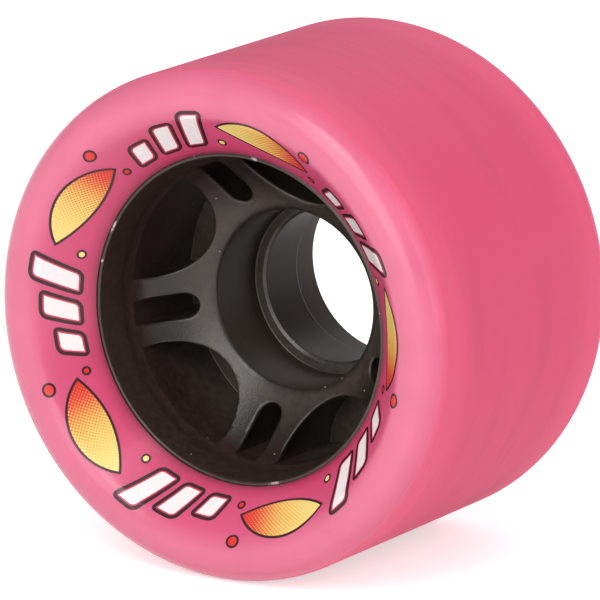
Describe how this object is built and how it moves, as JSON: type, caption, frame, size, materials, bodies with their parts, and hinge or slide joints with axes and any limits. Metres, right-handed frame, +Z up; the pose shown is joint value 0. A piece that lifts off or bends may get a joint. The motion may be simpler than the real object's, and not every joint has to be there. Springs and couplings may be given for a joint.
{
  "type": "roller skate wheel",
  "caption": "Quad roller skate wheel: pink cast polyurethane tyre with dished side faces, bonded round a black nylon hub with double spokes, lightening pockets and a stepped bearing barrel.",
  "frame": {"origin": "on the axle, midway between the tyre's two side beads", "axes": "+Y along the axle from the front of the wheel to its back, +Z up, +X to the right seen from the front"},
  "size_m": [0.062, 0.042, 0.062],
  "materials": {
    "tyre": "glossy cast polyurethane side faces, ground satin tread",
    "hub": "satin moulded nylon"
  },
  "bodies": {
    "root": {"tyre": "tyre", "hub": "hub"}
  },
  "joints": []
}
